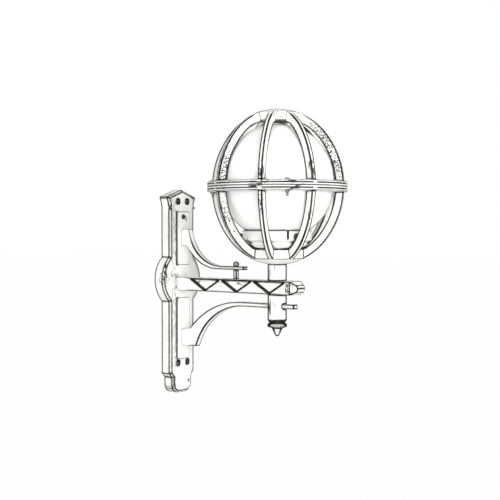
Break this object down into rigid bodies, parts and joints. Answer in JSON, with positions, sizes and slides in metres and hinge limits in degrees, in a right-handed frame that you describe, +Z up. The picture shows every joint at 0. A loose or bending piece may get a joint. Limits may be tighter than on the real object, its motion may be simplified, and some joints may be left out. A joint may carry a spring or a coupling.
{
  "type": "outdoor wall lamp",
  "caption": "Wall lamp with a long plate, a boxed arm with zigzag relief and curved braces, and a ribbed ball cage round an opal glass globe.",
  "frame": {"origin": "middle of the four wall holes, on the wall plane", "axes": "+Z up, +Y into the wall, so the lamp stands out towards -Y; +X to the right for someone who faces the wall"},
  "size_m": [0.308, 0.46, 0.6495],
  "materials": {
    "cast_paint": "aged off-white paint on cast aluminium",
    "steel": "zinc-plated steel",
    "brass": "dull brass",
    "porcelain": "glazed porcelain",
    "seat_rubber": "black rubber",
    "opal_glass": "opal glass",
    "bulb_glass": "frosted lamp glass",
    "cap_metal": "bare aluminium",
    "black_glass": "black glass",
    "filament": "tungsten and nickel wire",
    "black_wire": "black insulation"
  },
  "bodies": {
    "bracket": {"wall_plate": "cast_paint", "arm": "cast_paint", "upper_brace": "cast_paint", "brace_pillar": "cast_paint", "pillar_nut": "cast_paint", "lower_brace": "cast_paint", "neck_tube": "cast_paint", "lower_post": "cast_paint", "finial": "cast_paint", "lower_cage": "cast_paint", "gallery": "cast_paint", "arm_screws": "steel", "upper_brace_screws": "steel", "lower_brace_screws": "steel", "terminal_fixing": "steel", "stem_tube": "steel", "stem_nut": "steel", "coupling_nut": "steel", "tie_rod": "steel", "ring_nuts": "steel", "earth_screw": "brass", "earth_washer": "brass", "terminal_clamps": "brass", "holder_shell": "brass", "holder_contact": "brass", "terminal_block": "porcelain", "holder_body": "porcelain", "globe_seat": "seat_rubber", "glass_globe": "opal_glass", "wires": "black_wire"},
    "cage_top": {"upper_cage": "cast_paint", "ring_bolts": "steel", "ring_washers": "steel"},
    "thumb_1": {"thumb_screw_1": "brass"},
    "thumb_2": {"thumb_screw_2": "brass"},
    "thumb_3": {"thumb_screw_3": "brass"},
    "bulb": {"bulb_cap": "cap_metal", "bulb_insulator": "black_glass", "bulb_contact": "cap_metal", "bulb_glass": "bulb_glass", "bulb_stem": "bulb_glass", "bulb_filament": "filament"}
  },
  "joints": [
    {"name": "upper_cage_lift", "type": "slide", "parent": "bracket", "child": "cage_top", "axis": [0, 0, 1], "range_m": [0, 0.17]},
    {"name": "thumb_screw_1_out", "type": "slide", "parent": "bracket", "child": "thumb_1", "axis": [-0.3746, -0.9272, 0], "range_m": [0, 0.004]},
    {"name": "thumb_screw_2_out", "type": "slide", "parent": "bracket", "child": "thumb_2", "axis": [0.9903, 0.1392, 0], "range_m": [0, 0.004]},
    {"name": "thumb_screw_3_out", "type": "slide", "parent": "bracket", "child": "thumb_3", "axis": [-0.6157, 0.788, 0], "range_m": [0, 0.004]},
    {"name": "bulb_turn", "type": "hinge", "parent": "bracket", "child": "bulb", "pos_m": [0, -0.306, 0.15], "axis": [0, 0, 1], "range_deg": [0, 810]}
  ]
}
